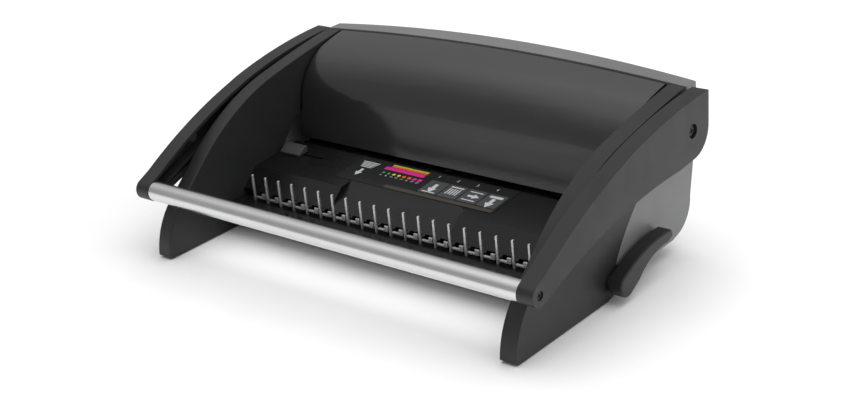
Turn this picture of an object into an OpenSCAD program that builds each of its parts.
// Manual comb binding machine: a punch and a comb opener in one case.
// X runs from left to right, Y from the user to the back, Z up.
// Inside the modules Y is counted from the front of the legs, and place() moves the
// finished piece so that the origin is under the middle of the machine, on the table.

/* [Case] */
// Clear width between the two side panels
inner_w = 320; // [250:1:400]
// Thickness of a side panel
panel_t = 13.7; // [10:0.1:16]
// Height of the case at its top corners
body_h = 125.5; // [118:0.5:152]
// How much the top is higher in the middle than at the roll cover's ends
crown_rise = 5.9; // [3:0.1:9]
// How much the back is deeper in the middle than at the corners
back_bulge = 5.6; // [3:0.1:9]
// Wall of the rear shell and of the roll cover
shell_wall = 2.5; // [1.8:0.1:3.5]
// Seam between two case mouldings
seam = 0.4; // [0.3:0.1:0.8]
// Height of the legs' undersides over the table
leg_lift = 0.8; // [0.5:0.1:1.5]

/* [Paper table] */
// Depth of the flat table, from its front ridge to the punch throat
deck_d = 49; // [41:1:64]
// Height of the front ridge
ridge_h = 43; // [41:0.5:47]
// Rise of the table towards the throat, in degrees
deck_tilt = 5.9; // [3:0.1:8]
// Wall of the table and apron
deck_wall = 2.5; // [2:0.1:3.2]
// Left end of the finger scoop, from the middle
scoop_left = 66; // [40:1:90]
// Right end of the finger scoop, from the middle
scoop_right = 50; // [30:1:90]
// How far behind the ridge the finger scoop begins
scoop_d = 11; // [6:1:16]
// Width of the printed label
label_w = 155; // [100:1:180]
// Depth of the printed label
label_d = 36; // [20:1:38]
// Thickness of the printed label
label_t = 0.3; // [0.2:0.1:0.6]
// Travel of the paper edge guide
guide_travel = 20; // [10:1:30]

/* [Comb and punch] */
// Distance from one comb ring to the next
pitch = 14.2875; // [12.7:0.0001:16]
// Least distance from the outermost hole's middle to the side panel
hole_margin = 16; // [14:0.5:22]
// Length of a punched hole along the paper's edge
punch_w = 8; // [6:0.1:9]
// Width of a punched hole
punch_d = 3; // [2:0.1:3.6]
// Clearance round each punch in its plates
punch_clear = 0.2; // [0.15:0.05:0.4]
// Height of the punch throat
throat_gap = 2.4; // [1.6:0.1:3]
// Distance from the throat's mouth to the row of punches
throat_d = 22; // [21:0.5:28]
// Width of a tine
tine_w = 2; // [1.4:0.1:3]
// Thickness of a tine and of the rack's strip
tine_t = 1.8; // [1.2:0.1:2.4]
// Height of a tine over the apron
tine_h = 22; // [16:0.5:26]
// Thickness of the comb opener
hook_t = 1.5; // [1:0.1:2]

/* [Handle] */
// Diameter of the grip bar
bar_dia = 15.4; // [13:0.1:19]
// Height of the grip bar's axis
bar_h = 52.3; // [48:0.1:58]
// Gap between a handle arm and its side panel
arm_gap = 2.5; // [1.5:0.1:4]
// Width of a handle arm
arm_t = 13.5; // [12:0.1:18]
// Wall of a handle arm
arm_wall = 2.6; // [2:0.1:3.5]
// Diameter of the handle's shaft
shaft_dia = 12; // [8:0.5:14]
// Turn of the handle from the table to its upper stop, in degrees
handle_turn = 65; // [45:1:75]
// Throw of the cranks that lift the punches
crank_r = 12; // [10:0.1:12.5]

/* [Comb lever] */
// Diameter of the comb lever's shaft
lever_shaft_dia = 8; // [6:0.1:9.6]
// Width of the comb lever
lever_t = 11.6; // [8:0.1:13]
// Turn of the comb lever, in degrees
lever_turn = 45; // [30:1:48]
// Throw of the cranks that push the comb opener
opener_crank_r = 20; // [16:0.5:21]

/* [Fits] */
// Radial clearance of a shaft in its bearing
running_fit = 0.05; // [0.02:0.01:0.1]
// Clearance of a crank's pin in its slot
slot_fit = 0.35; // [0.25:0.05:0.5]
// Clearance between flat faces that slide
slide_fit = 0.3; // [0.2:0.05:0.5]
// Clearance of a piece that is screwed or pressed into its seat
seat_fit = 0.02; // [0.01:0.01:0.05]

/* [Hidden] */

round_fn = 64;
arc_n = 20;
bow_n = 16;
dark = "#3a3b3d";
grey = "#77797b";
steel = "#c8c8c6";
plated = "#a9adb1";

// Widths, from the middle plane
half_in = inner_w / 2;
half_out = half_in + panel_t;
arm_in = half_out + arm_gap;
arm_out = arm_in + arm_t;
cover_half = half_in - 2.6;
frame_t = 2;
frame_out = half_in - 6;
frame_in = frame_out - frame_t;
deck_half = half_in - 0.3;

// Depths, from the front of the legs
bar_y = 9;
tine_y = 80.4;
ramp_y = 82;
ridge_y = ramp_y + 19;
throat_y = ridge_y + deck_d;
pin_y = throat_y + throat_d;
pivot_y = pin_y + 26.5;
split_y = pivot_y + 17.6;
back_y = split_y + 20;
tip_r = bar_dia / 2 + 0.4;
mid_y = back_y / 2;

// Heights
apron_h = 24.2;
throat_h = ridge_h + deck_d * tan(deck_tilt);
pivot_h = body_h - 26.4;
top_h = body_h + crown_rise;
base_h = 11;
base_t = 1.6;
pan_h = 5.5;
crown_r = (cover_half * cover_half + crown_rise * crown_rise) / (2 * crown_rise);
bulge_r = (half_out * half_out + back_bulge * back_bulge) / (2 * back_bulge);

// Comb and punch rows
holes = floor((inner_w - 2 * hole_margin) / pitch) + 1;
hole_x = [for (i = [0:holes - 1]) (i - (holes - 1) / 2) * pitch];
hook_h = 26.5;
slot_h = 29.8;
finger_y = tine_y - tine_t / 2 + 0.1;

// Comb lever and opener
lever_y = 112.5;
clip_rim = 2.4;
clip_gap = 0.1;
lever_h = pan_h + deck_wall + clip_gap + clip_rim + lever_shaft_dia / 2;
lever_in = half_out + 2.4;
opener_travel = 2 * opener_crank_r * sin(lever_turn / 2);
opener_pin_r = 2;
opener_crank_x = half_in * 0.625;
opener_front_y = ramp_y + 7 + opener_travel;
opener_back_y = lever_y + opener_crank_r * sin(lever_turn / 2) + 7.5;

// Punch drive
die_t = 4;
guide_t = 2.5;
guide_h = 15.6;
punch_bar_lo = throat_h + 22;
punch_bar_h = 10;
drive_pin_r = 3;
drive_x = half_in * 0.47;
punch_travel = 2 * crank_r * sin(handle_turn / 2);
drive_y = pivot_y - crank_r * cos(handle_turn / 2);
drive_h = pivot_h - crank_r * sin(handle_turn / 2);
bush_r = shaft_dia / 2 + 3;

// Chip tray
tray_half = frame_in - 3.5;
tray_lo = 18.2;
tray_hi = 38;
tray_y = pin_y - 30;

// Points of the arc from a through b to c
function centre3(a, b, c) =
    let (d = 2 * (a.x * (b.y - c.y) + b.x * (c.y - a.y) + c.x * (a.y - b.y)))
    [((a * a) * (b.y - c.y) + (b * b) * (c.y - a.y) + (c * c) * (a.y - b.y)) / d,
     ((a * a) * (c.x - b.x) + (b * b) * (a.x - c.x) + (c * c) * (b.x - a.x)) / d];
function turn(from, to) = let (t = to - from) t > 180 ? t - 360 : t < -180 ? t + 360 : t;
function arc3(a, b, c, n = arc_n) =
    let (m = centre3(a, b, c), r = norm(a - m), s = atan2(a.y - m.y, a.x - m.x),
         u = turn(s, atan2(b.y - m.y, b.x - m.x)),
         w = turn(atan2(b.y - m.y, b.x - m.x), atan2(c.y - m.y, c.x - m.x)))
    [for (i = [0:n]) let (t = s + (u + w) * i / n) m + r * [cos(t), sin(t)]];
function arc_at(m, r, from, to, n = arc_n) =
    [for (i = [0:n]) let (t = from + (to - from) * i / n) m + r * [cos(t), sin(t)]];

// Moves a finished piece from the front of the legs to the origin
module place() { translate([0, -mid_y, 0]) children(); }
// An outline in Y and Z, extruded along X
module slab(x0, x1, outline) {
    translate([x0, 0, 0]) rotate([90, 0, 90]) linear_extrude(x1 - x0) polygon(outline);
}
module rod(x0, x1, y, z, r) {
    translate([x0, y, z]) rotate([0, 90, 0]) cylinder(h = x1 - x0, r = r, $fn = round_fn);
}
module block(lo, hi) { translate(lo) cube(hi - lo); }
module both_sides() {
    children();
    mirror([1, 0, 0]) children();
}

// ---- Outlines seen from the side ----
panel_lobe = 17.8;
lever_lobe = 11.5;
rim_front = [tine_y - 38, ridge_h + 18.9];
rim_mid = [throat_y - 21, body_h - 16];
rim_back = [pivot_y + panel_lobe, body_h - 0.9];
lever_pivot = [lever_y, lever_h];
handle_pivot = [pivot_y, pivot_h];
bar_axis = [bar_y, bar_h];

// Front and top edge of a side panel, from the leg's toe to the top corner
function panel_edge() = concat(
    [[2, leg_lift]],
    arc3([0, 2.4], [5, 22], [16.7, 39.2]),
    arc3(rim_front, [tine_y, ridge_h + 47.3], rim_mid),
    [for (i = [1:arc_n]) arc3(rim_mid, [pivot_y - 21, body_h - 6.6], rim_back)[i]]);
// Back edge of a side panel, from the top corner to the sole, moved off by g for the shell
function panel_back(g) = concat(
    arc_at(handle_pivot, panel_lobe + g, 0, -110),
    [[pivot_y - 26 + g, pivot_h - 21.5 - g]],
    arc3([throat_y + 5 + g, 68 - g], [lever_y + 19.5 + g, 45 - g], [lever_y + 7 + g, 26.5 - g / 2]),
    arc_at(lever_pivot, lever_lobe + g, 55, -70, 8),
    [[lever_y - 5, leg_lift]]);

// Side outline of the rear shell's back; the wall g is taken off for its hollow
function shell_edge(g) = concat(
    [[split_y - 60, 200], [back_y - g, 200], [back_y - g, body_h]],
    arc3([back_y - 1.5 - g, body_h - 8], [split_y + 8 - g, 64], [split_y + 2.8 - g, 39.3], 6),
    arc3([split_y + 2.8 - g, 38.8], [split_y - 2 - g, 24 + g], [curl_y, 15.5 + g], 8));
curl_y = split_y - 13;

// Flat-sided prisms under the crown of the top and before the bulge of the back
function bow(r, half) = [for (i = [0:bow_n]) let (t = asin(half / r) * (1 - 2 * i / bow_n)) r * [sin(t), cos(t)]];
module crown(g) {
    translate([0, back_y + 10, top_h - crown_r]) rotate([90, 0, 0]) linear_extrude(back_y + 10)
        polygon(concat(bow(crown_r - g, half_out + 9), [[-half_out - 9, 0], [half_out + 9, 0]]));
}
module bulge(g) {
    translate([0, back_y - bulge_r, -10]) linear_extrude(400)
        polygon(concat(bow(bulge_r - g, half_out + 9), [[-half_out - 9, 0], [half_out + 9, 0]]));
}

// ---- Case ----
module panel_shape() {
    slab(half_in, half_out, concat(panel_edge(), panel_back(0)));
}
module panel_bores(lever_from, lever_to) {
    rod(half_in - 1, half_out + 1, pivot_y, pivot_h, bush_r + seat_fit);
    rod(lever_from, lever_to, lever_y, lever_h, lever_shaft_dia / 2 + running_fit);
    translate([(half_in + half_out) / 2, front_foot_y, -1])
        cylinder(h = 3.2 + leg_lift, r = front_foot_r + seat_fit, $fn = round_fn);
}
front_foot_y = 22;
front_foot_r = 5;
rear_foot_r = 8;

module side_panel_right() {
    color(dark) place() difference() {
        panel_shape();
        panel_bores(half_in - 1, half_out + 1);
    }
}
module side_panel_left() {
    color(dark) place() mirror([1, 0, 0]) difference() {
        panel_shape();
        panel_bores(half_in - 1, half_in + 8);
    }
}

// The cheeks fill the sides behind the panels; the back and the top band close the case
module rear_shell() {
    color(grey) place() difference() {
        intersection() {
            slab(-half_out, half_out, concat(shell_edge(0), [[curl_y - 10, 12.8], [pin_y, 12.4],
                [lever_y - 3, 1.4], [lever_y - 3, 200]]));
            crown(0);
            bulge(0);
        }
        intersection() {
            slab(-half_out + shell_wall, half_out - shell_wall,
                concat(shell_edge(shell_wall), [[curl_y, -20], [lever_y - 40, -20], [lever_y - 40, 200]]));
            crown(shell_wall);
            bulge(shell_wall);
        }
        // The side panels and everything in front of the top band
        slab(-half_out - 1, half_out + 1, concat(
            [[-50, -20], [-50, 300], [split_y + split_gap, 300], [split_y + split_gap, body_h - 1]],
            panel_back(seam), [[lever_y - 6, -20]]));
        // Opening for the chip tray
        block([-tray_half - seam - 1.5, curl_y - 20, -1],
              [tray_half + seam + 1.5, back_y + 10, tray_hi + 2.4]);
    }
}

// Outline of the roll cover at its ends, from the throat to the top band
cover_foot = [throat_y + 2.8, throat_h + 3.4];
function cover_edge() = concat(
    [for (t = [0, 0.33, 0.66]) cover_foot + t * [6.3, body_h - 45.1 - cover_foot.y]],
    arc3([throat_y + 9.1, body_h - 45.1], [throat_y + 17.6, body_h - 23.4],
         [pivot_y - 8.8, body_h - 6.8], 9),
    [[pivot_y - 1, body_h - 4.6], [pivot_y + 8, body_h - 2.6], [split_y - split_gap, body_h - 1]]);
cover_n = 24;
split_gap = 0.8;
module roll_cover() {
    edge = cover_edge();
    last = len(edge) - 1;
    lift = [for (p = edge) let (s = max(0, min(1, (p.y - cover_foot.y) / (body_h - cover_foot.y))))
        s * s * (3 - 2 * s) * crown_rise];
    inward = [for (j = [0:last])
        let (d = edge[min(last, j + 1)] - edge[max(0, j - 1)]) [d.y, -d.x] / norm(d)];
    outer = [for (i = [0:cover_n], j = [0:last]) let (x = -cover_half + 2 * cover_half * i / cover_n,
        k = 1 - x * x / (cover_half * cover_half)) [x, edge[j].x, edge[j].y + lift[j] * k]];
    inner = [for (i = [0:cover_n], j = [0:last])
        outer[i * (last + 1) + j] + shell_wall * [0, inward[j].x, inward[j].y]];
    m = last + 1;
    off = len(outer);
    faces = concat(
        [for (i = [0:cover_n - 1], j = [0:last - 1])
            [i * m + j, i * m + j + 1, (i + 1) * m + j + 1, (i + 1) * m + j]],
        [for (i = [0:cover_n - 1], j = [0:last - 1])
            [off + i * m + j, off + (i + 1) * m + j, off + (i + 1) * m + j + 1, off + i * m + j + 1]],
        [for (i = [0:cover_n - 1]) [i * m, (i + 1) * m, off + (i + 1) * m, off + i * m]],
        [for (i = [0:cover_n - 1])
            [i * m + last, off + i * m + last, off + (i + 1) * m + last, (i + 1) * m + last]],
        [for (j = [0:last - 1]) [j, off + j, off + j + 1, j + 1]],
        [for (j = [0:last - 1]) let (e = cover_n * m)
            [e + j, e + j + 1, off + e + j + 1, off + e + j]]);
    color("#454749") place() polyhedron(points = concat(outer, inner), faces = faces, convexity = 6);
}

// ---- Paper table, apron and base ----
function deck_z(y) = ridge_h + (y - ridge_y) * tan(deck_tilt);
ramp_slope = (ridge_h - 27) / (ridge_y - ramp_y);
foot_y = ramp_y + (slot_h - 27) / ramp_slope;
scoop_y = ridge_y + scoop_d;
scoop_r = 8;
foot_t = slot_h - hook_h - hook_t - slide_fit;
function sheet(pts, t) = concat(pts, [for (i = [len(pts) - 1:-1:0])
    pts[i] + [i < 2 ? 1 : 0, i > 0 ? -t : -foot_t]]);
guide_y = ridge_y + 31;

module deck_profile(x0, x1, crest_y) {
    slab(x0, x1, sheet([[foot_y, slot_h], [crest_y, deck_z(crest_y)], [throat_y - 0.4, deck_z(throat_y - 0.4)]],
        deck_wall));
}
module scoop_end(x) {
    slab(x, x + deck_wall, [[foot_y, slot_h], [ridge_y, ridge_h], [scoop_y, deck_z(scoop_y)],
        [scoop_y, deck_z(scoop_y) - deck_wall], [foot_y + 1, slot_h - foot_t]]);
}
// Fills the scoop's right rear corner outside a round of radius scoop_r
module scoop_corner() {
    difference() {
        deck_profile(scoop_right - scoop_r, scoop_right + deck_wall, ridge_y);
        block([scoop_right - scoop_r - 1, 0, 0], [scoop_right, scoop_y - scoop_r, 99]);
        translate([scoop_right - scoop_r, scoop_y - scoop_r, 0]) cylinder(h = 99, r = scoop_r, $fn = round_fn);
    }
}
module paper_deck() {
    color(dark) place() difference() {
        union() {
            deck_profile(-deck_half, -scoop_left, ridge_y);
            deck_profile(-scoop_left, scoop_right, scoop_y);
            deck_profile(scoop_right, deck_half, ridge_y);
            scoop_end(-scoop_left - deck_wall);
            scoop_end(scoop_right);
            scoop_corner();
            for (x = hole_x)
                slab(x - 1.2, x + 1.2, [[ramp_y + 1, apron_h], [ramp_y + 1, slot_h - 1], [foot_y, slot_h],
                    [foot_y + 3, slot_h], [foot_y + 3, apron_h]]);
            both_sides() block([deck_half - 3, throat_y - 20, base_h + base_t],
                [deck_half, throat_y - 12, deck_z(throat_y - 20) - 1]);
        }
        block([-half_in + 4, guide_y - 1, apron_h], [-half_in + 26 + guide_travel, guide_y + 1, ridge_h + 30]);
    }
}

module front_apron() {
    top = [[60, apron_h], [ramp_y + 16, apron_h], [ramp_y + 16, apron_h - deck_wall],
        [62, apron_h - deck_wall], [62 + 11, pan_h + deck_wall], [lever_y + 7, pan_h + deck_wall],
        [lever_y + 7, pan_h], [59 + 12, pan_h]];
    color(dark) place() difference() {
        slab(-deck_half, deck_half, top);
        for (x = hole_x)
            block([x - tine_w / 2 - 0.2, tine_y - tine_t / 2 - 0.2, apron_h - deck_wall - 1],
                  [x + tine_w / 2 + 0.2, tine_y + tine_t / 2 + 0.2, apron_h + 1]);
    }
}

module base_plate() {
    color(plated) place() difference() {
        block([-half_in + 0.5, lever_y + 7.6, base_h], [half_in - 0.5, split_y - 14, base_h + base_t]);
        both_sides() for (y = screw_rows)
            translate([frame_in - 5, y, base_h - 1]) cylinder(h = 5, r = 1.6 + seat_fit, $fn = round_fn);
    }
}
screw_rows = [throat_y + 8, pivot_y - 4];

module rubber_feet() {
    color("#1d1d1e") place() both_sides() {
        translate([(half_in + half_out) / 2, front_foot_y, 0])
            cylinder(h = leg_lift + 2.2, r = front_foot_r, $fn = round_fn);
        translate([half_in - 22, pivot_y - 12, 0]) cylinder(h = base_h, r = rear_foot_r, $fn = round_fn);
    }
}

module base_screws() {
    color(plated) place() both_sides() for (y = screw_rows) translate([frame_in - 5, y, base_h]) {
        translate([0, 0, -1.6]) cylinder(h = 1.6, r = 3, $fn = round_fn);
        cylinder(h = base_t + 3, r = 1.6, $fn = round_fn);
    }
}

module deck_label() {
    y0 = throat_y - 1.5 - label_d;
    color("#8a8c8c") place()
        translate([0, 0, seat_fit]) slab(-label_w / 2 - 6, label_w / 2 - 6, [[y0, deck_z(y0)],
            [y0, deck_z(y0) + label_t], [y0 + label_d, deck_z(y0 + label_d) + label_t],
            [y0 + label_d, deck_z(y0 + label_d)]]);
}

module edge_guide() {
    x0 = -half_in + 4;
    low = deck_z(guide_y) - deck_wall - slide_fit;
    color("#6c6e70") place() {
        slab(x0, x0 + 21, [[guide_y - 6, deck_z(guide_y - 6) + slide_fit], [guide_y - 6, deck_z(guide_y) + 1.6],
            [guide_y + 1, deck_z(guide_y) + 6], [guide_y + 5, deck_z(guide_y) + 6],
            [guide_y + 5, deck_z(guide_y + 5) + slide_fit]]);
        block([x0 + 4, guide_y - 0.7, low - 1], [x0 + 17, guide_y + 0.7, deck_z(guide_y) + 2]);
        block([x0 + 4, guide_y - 4, low - 2.2], [x0 + 17, guide_y + 4, low - 0.6]);
    }
}

// ---- Comb rack, opener and lever ----
module comb_rack() {
    color(steel) place() {
        block([hole_x[0] - 8, tine_y - tine_t / 2, pan_h + deck_wall],
              [-hole_x[0] + 8, tine_y + tine_t / 2, apron_h - deck_wall]);
        for (x = hole_x) {
            block([x - tine_w / 2, tine_y - tine_t / 2, apron_h - deck_wall - 1],
                  [x + tine_w / 2, tine_y + tine_t / 2, apron_h + tine_h - 1]);
            translate([x, tine_y + tine_t / 2, apron_h + tine_h - 1]) rotate([90, 0, 0])
                cylinder(h = tine_t, r = tine_w / 2, $fn = 24);
        }
    }
}

module hook(x) {
    shank = x + 8.4;
    block([x + 1.7, finger_y, hook_h], [shank + 3.6, finger_y + 2, hook_h + hook_t]);
    block([shank, finger_y, hook_h], [shank + 3.6, opener_front_y + 1, hook_h + hook_t]);
    block([shank, finger_y, hook_h], [shank + 3.6, finger_y + hook_t, hook_h + 4.6]);
}
module comb_opener() {
    color(steel) place() {
        for (i = [0:holes - 2]) hook(hole_x[i]);
        difference() {
            block([hole_x[0] + 6, opener_front_y, hook_h], [-hole_x[0] - 1, opener_back_y, hook_h + hook_t]);
            both_sides() block([opener_crank_x - 3.5, lever_y - 3.5, hook_h - 1],
                [opener_crank_x + 6, opener_back_y + 1, hook_h + hook_t + 1]);
        }
    }
}
// The forks stand on the opener's plate and hold the lever cranks' pins
module opener_forks() {
    low = hook_h + hook_t;
    fork_y = lever_y + opener_crank_r * sin(lever_turn / 2);
    color(plated) place() both_sides() difference() {
        translate([opener_crank_x + 6.5, fork_y - 6, low]) cube([4, 12, lever_h + opener_crank_r + 3 - low]);
        translate([opener_crank_x + 5.5, fork_y - opener_pin_r - slot_fit, low + 1])
            cube([6, 2 * (opener_pin_r + slot_fit), opener_crank_r]);
    }
}

module opener_brackets() {
    x = opener_crank_x + 24;
    color(plated) place() both_sides() difference() {
        block([x, ramp_y + 14, pan_h + deck_wall], [x + 6, lever_y + 7, hook_h - slide_fit]);
        rod(x - 1, x + 7, lever_y, lever_h, lever_shaft_dia / 2 + running_fit);
        block([x - 1, ramp_y, apron_h - deck_wall - 0.1], [x + 7, ramp_y + 16.2, apron_h + 5]);
    }
}

module lever_shaft() {
    color(plated) place() rod(-half_in - 7.5, lever_in + lever_t - 3, lever_y, lever_h, lever_shaft_dia / 2);
}
module lever_clip() {
    color(plated) place() both_sides() difference() {
        rod(half_in - 3.4, half_in - 2.2, lever_y, lever_h, lever_shaft_dia / 2 + clip_rim);
        rod(half_in - 4, half_in - 1, lever_y, lever_h, lever_shaft_dia / 2 + seat_fit);
    }
}

// A crank web from a hub to a pin, as seen from the side, and the pin
module crank(x0, x1, hub, hub_r, end, end_r, bore_r) {
    side = [end.y - hub.y, hub.x - end.x] / norm(end - hub);
    difference() {
        union() {
            rod(x0, x1, hub.x, hub.y, hub_r);
            rod(x0, x1, end.x, end.y, end_r);
            slab(x0, x1, [hub + side * end_r, end + side * end_r, end - side * end_r, hub - side * end_r]);
        }
        rod(x0 - 1, x1 + 1, hub.x, hub.y, bore_r);
    }
}
module lever_cranks() {
    pin = lever_pivot + opener_crank_r * [sin(lever_turn / 2), cos(lever_turn / 2)];
    color(plated) place() both_sides() {
        crank(opener_crank_x, opener_crank_x + 5, lever_pivot, 6.4, pin, 4,
            lever_shaft_dia / 2 + seat_fit);
        rod(opener_crank_x + 4, opener_crank_x + 11.5, pin.x, pin.y, opener_pin_r);
    }
}

function lever_edge() = let (p = lever_pivot) concat(
    arc_at(p, 8.8, 308, 150, 16),
    arc3(p + [-7.2, 5.6], p + [15.8, 15.4], p + [54, 20]),
    arc_at(p + [55.5, 16], 4, 80, -40, 6),
    arc3(p + [53, 11.2], p + [34, 9.2], p + [14.7, -2]));
module comb_lever() {
    color(dark) place() difference() {
        slab(lever_in, lever_in + lever_t, lever_edge());
        rod(lever_in - 1, lever_in + lever_t - 2.9, lever_y, lever_h, lever_shaft_dia / 2 + seat_fit);
    }
}

// ---- Punch ----
function frame_edge() = [
    [throat_y + 7, base_h + base_t], [throat_y + 7, throat_h + 3], [throat_y + 12, throat_h + 18],
    [pin_y - 5, throat_h + 30],
    [pin_y - 3, pivot_h - 2], [pin_y + 8, pivot_h + 10], [pivot_y, pivot_h + 15],
    [split_y - 4, pivot_h + 15], [split_y - 4, tray_hi + 6], [split_y - 16, tray_hi + 6],
    [split_y - 16, base_h + base_t]];
module frame_plate_right() {
    color(plated) place() difference() {
        slab(frame_in, frame_out, frame_edge());
        rod(frame_in - 1, frame_out + 1, pivot_y, pivot_h, bush_r + seat_fit);
    }
}
module frame_plate_left() { mirror([1, 0, 0]) frame_plate_right(); }

module tie_rods() {
    color(plated) place() {
        rod(-frame_in, frame_in, split_y - 9, pivot_h - 30, 4);
        rod(-frame_in, frame_in, split_y - 9, tray_hi + 12, 4);
    }
}

module punch_holes(z0, z1) {
    for (x = hole_x)
        block([x - punch_w / 2 - punch_clear, pin_y - punch_d / 2 - punch_clear, z0],
              [x + punch_w / 2 + punch_clear, pin_y + punch_d / 2 + punch_clear, z1]);
}
module die_plate() {
    color(plated) place() difference() {
        block([-frame_in, throat_y, throat_h - die_t], [frame_in, pin_y + 8.5, throat_h]);
        punch_holes(throat_h - die_t - 1, throat_h + 1);
    }
}
module punch_guide() {
    low = throat_h + throat_gap;
    color(plated) place() difference() {
        union() {
            block([-frame_in, throat_y + 6, low], [frame_in, pin_y + 8.5, low + guide_t]);
            block([-frame_in, pin_y + 6, throat_h], [frame_in, pin_y + 8.5, low + guide_h]);
            block([-frame_in, pin_y - 6, low + guide_h - guide_t], [frame_in, pin_y + 8.5, low + guide_h]);
        }
        punch_holes(throat_h + 0.1, low + guide_h + 1);
    }
}
module throat_tabs() {
    low = throat_h + throat_gap;
    color(steel) place() for (x = [-tab_x, 0, tab_x])
        slab(x - 3, x + 3, [[throat_y + 1, low], [throat_y + 1, low - 0.4],
            [throat_y + 10, low - 0.6], [throat_y + 10, low]]);
}
tab_x = half_in * 0.64;

module punch_bar() {
    color(plated) place() block([hole_x[0] - 7, pin_y - 3.5, punch_bar_lo],
        [-hole_x[0] + 7, pin_y + 5.5, punch_bar_lo + punch_bar_h]);
}
// The forks stand on the punch bar, open towards the handle's shaft
module punch_forks() {
    top = punch_bar_lo + punch_bar_h;
    slot = drive_pin_r + slot_fit;
    mouth = pivot_y - shaft_dia / 2 - 1.22;
    heel = drive_y - 6;
    color(plated) place() both_sides() slab(drive_x, drive_x + 6, [[pin_y - 2, top],
        [drive_y - 9, drive_h + slot + 3], [mouth, drive_h + slot + 3], [mouth, drive_h + slot],
        [heel, drive_h + slot], [heel, drive_h - slot], [mouth, drive_h - slot],
        [mouth, drive_h - slot - 3], [pin_y + 5.5, top]]);
}
module punch_pins() {
    color(steel) place() for (x = hole_x)
        block([x - punch_w / 2, pin_y - punch_d / 2, throat_h + throat_gap + 1 - punch_travel],
              [x + punch_w / 2, pin_y + punch_d / 2, punch_bar_lo]);
}

module pivot_shaft() {
    end = arm_in + 7;
    color(plated) place() difference() {
        rod(-end, end, pivot_y, pivot_h, shaft_dia / 2);
        both_sides() rod(end - 9, end + 1, pivot_y, pivot_h, 2 + seat_fit);
    }
}
module drive_cranks() {
    color(plated) place() both_sides() {
        crank(drive_x + 6.5, drive_x + 12.5, handle_pivot, shaft_dia / 2 + 4, [drive_y, drive_h], 5,
            shaft_dia / 2 + seat_fit);
        rod(drive_x - 1, drive_x + 7, drive_y, drive_h, drive_pin_r);
    }
}
module shaft_bushes() {
    color("#d8d3c4") place() both_sides() difference() {
        rod(frame_in, half_out, pivot_y, pivot_h, bush_r);
        rod(frame_in - 1, half_out + 1, pivot_y, pivot_h, shaft_dia / 2 + running_fit);
    }
}

// ---- Handle ----
arm_end_r = 21.5;
// Outline of a handle arm; the wall g is taken off for its hollow
function arm_edge(g) = concat(
    arc_at(bar_axis, tip_r - g, 297, 123, 12),
    arc3([bar_y + 7.7, bar_h + 12.7 - g], [tine_y - 15.9, ridge_h + 46.5 - g],
        [throat_y - 37.8, body_h - 18.9 - g], 20),
    arc3([throat_y - 30, body_h - 16.4 - g], [pivot_y - 38.5, body_h - 8 - g],
        [pivot_y + arm_end_r + 0.8 - g, body_h - 2.3 - g], 20),
    arc_at(handle_pivot, arm_end_r - g, 0, -88, 10),
    arc3([pivot_y - 18.3, pivot_h - 23.2 + g], [ridge_y + 2.5, ridge_h + 27.1 + g],
        [bar_y + 12, bar_h - 4.8 + g], 24));

module handle_arm_right() {
    color(dark) place() difference() {
        union() {
            difference() {
                slab(arm_in, arm_out, arm_edge(0));
                slab(arm_in - 1, arm_out - arm_wall, arm_edge(arm_wall));
            }
            intersection() {
                slab(arm_in, arm_out - 2, arm_edge(1));
                union() {
                    // Bosses for the shaft and the bar, and the ribs between them
                    rod(arm_in, arm_out - 2, pivot_y, pivot_h, shaft_dia / 2 + 4);
                    rod(arm_in, arm_out - 2, bar_y, bar_h, tip_r);
                    for (t = [0.24, 0.5, 0.74]) let (y = bar_y + t * (pivot_y - bar_y))
                        rod(arm_in + 0.6, arm_out - 2, y, bar_h + 15 + 38 * sin(90 * t), 4);
                    for (k = [0, 8]) slab(arm_in + 1, arm_out - 2, concat(
                        arc3([bar_y + 8, bar_h + 1 - k / 4], [tine_y, ridge_h + 34 - k], [pivot_y - 6, pivot_h - 2 - k], 8),
                        arc3([pivot_y - 6, pivot_h - 4 - k], [tine_y, ridge_h + 32 - k], [bar_y + 8, bar_h - 1 - k / 4], 8)));
                }
            }
        }
        rod(arm_in - 1, arm_in + 7 + seat_fit, pivot_y, pivot_h, shaft_dia / 2 + seat_fit);
        rod(arm_in + 6, arm_out, pivot_y, pivot_h, 2 + seat_fit);
        rod(pivot_head_x, arm_out + 5, pivot_y, pivot_h, pivot_recess_r);
        rod(arm_in - 1, arm_out, bar_y, bar_h, 1.8 + seat_fit);
        rod(bar_head_x, arm_out + 5, bar_y, bar_h, bar_recess_r);
    }
}
pivot_recess_r = 5.4;
pivot_head_x = arm_out - 3.4;
bar_recess_r = 3.3;
bar_head_x = arm_out - 2.8;
module handle_arm_left() { mirror([1, 0, 0]) handle_arm_right(); }

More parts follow.
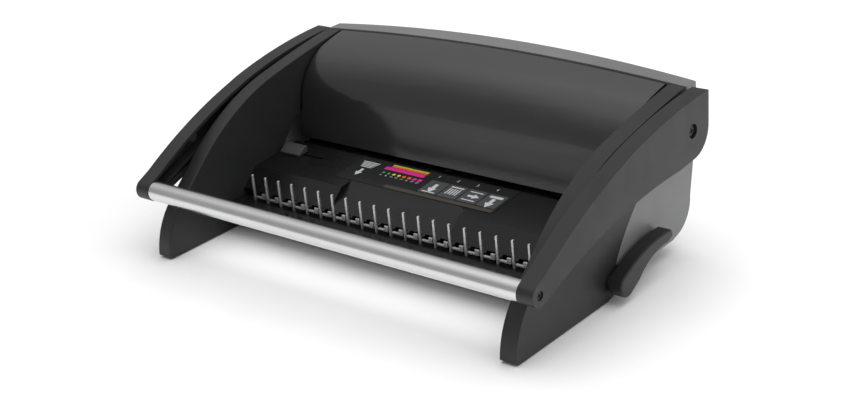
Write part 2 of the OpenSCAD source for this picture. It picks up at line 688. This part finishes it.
module handle_bar() {
    color(steel) place() difference() {
        rod(-arm_in, arm_in, bar_y, bar_h, bar_dia / 2);
        rod(-arm_in - 1, arm_in + 1, bar_y, bar_h, bar_dia / 2 - 2);
        // A long flat under the bar's front
        translate([0, bar_y, bar_h]) rotate([38, 0, 0])
            block([-arm_in - 1, -bar_dia, -bar_dia], [arm_in + 1, bar_dia, -bar_dia / 2 + 1]);
    }
}
module bar_plugs() {
    color("#2c2c2d") place() both_sides() difference() {
        rod(arm_in - 22, arm_in, bar_y, bar_h, bar_dia / 2 - 2 - seat_fit);
        rod(arm_in - 12, arm_in + 1, bar_y, bar_h, 1.8 + seat_fit);
    }
}
module bar_screws() {
    color(plated) place() both_sides() {
        rod(bar_head_x, bar_head_x + 2, bar_y, bar_h, 3);
        rod(arm_in - 12, bar_head_x, bar_y, bar_h, 1.8);
    }
}
module pivot_screws() {
    color(plated) place() both_sides() {
        rod(pivot_head_x, pivot_head_x + 2, pivot_y, pivot_h, 4.2);
        rod(arm_in - 2, pivot_head_x, pivot_y, pivot_h, 2);
    }
}

// ---- Chip tray ----
module chip_tray() {
    color(dark) place() {
        difference() {
            block([-tray_half, tray_y, tray_lo], [tray_half, split_y - 2, tray_hi]);
            block([-tray_half + 2, tray_y + 2, tray_lo + 2], [tray_half - 2, split_y + 20, tray_hi + 1]);
        }
        // The front of the tray carries on the curve of the case's back
        difference() {
            intersection() {
                slab(-tray_half, tray_half, shell_edge(0));
                block([-tray_half, curl_y, 14], [tray_half, back_y + 10, tray_hi + 1.8]);
            }
            slab(-tray_half + 2, tray_half - 2, concat(shell_edge(3), [[curl_y - 20, 18.5], [curl_y - 20, 200]]));
            block([-30, split_y - 5, tray_hi - 8], [30, back_y, tray_hi + 5]);
        }
        block([-34, split_y - 6, tray_lo + 2], [34, split_y - 4, tray_hi]);
    }
}
module tray_rails() {
    color(plated) place() both_sides() {
        block([tray_half - 8, tray_y, tray_lo - slide_fit - 1.6], [frame_in, split_y - 16, tray_lo - slide_fit]);
        block([tray_half - 8, tray_y, base_h + base_t], [tray_half - 6, split_y - 16, tray_lo - slide_fit - 1.6]);
    }
}

side_panel_left();
side_panel_right();
rear_shell();
roll_cover();
paper_deck();
front_apron();
base_plate();
rubber_feet();
base_screws();
deck_label();
edge_guide();
comb_rack();
comb_opener();
opener_forks();
opener_brackets();
lever_shaft();
lever_cranks();
comb_lever();
lever_clip();
frame_plate_left();
frame_plate_right();
tie_rods();
die_plate();
punch_guide();
throat_tabs();
punch_bar();
punch_forks();
punch_pins();
pivot_shaft();
drive_cranks();
shaft_bushes();
handle_arm_left();
handle_arm_right();
handle_bar();
bar_plugs();
bar_screws();
pivot_screws();
chip_tray();
tray_rails();
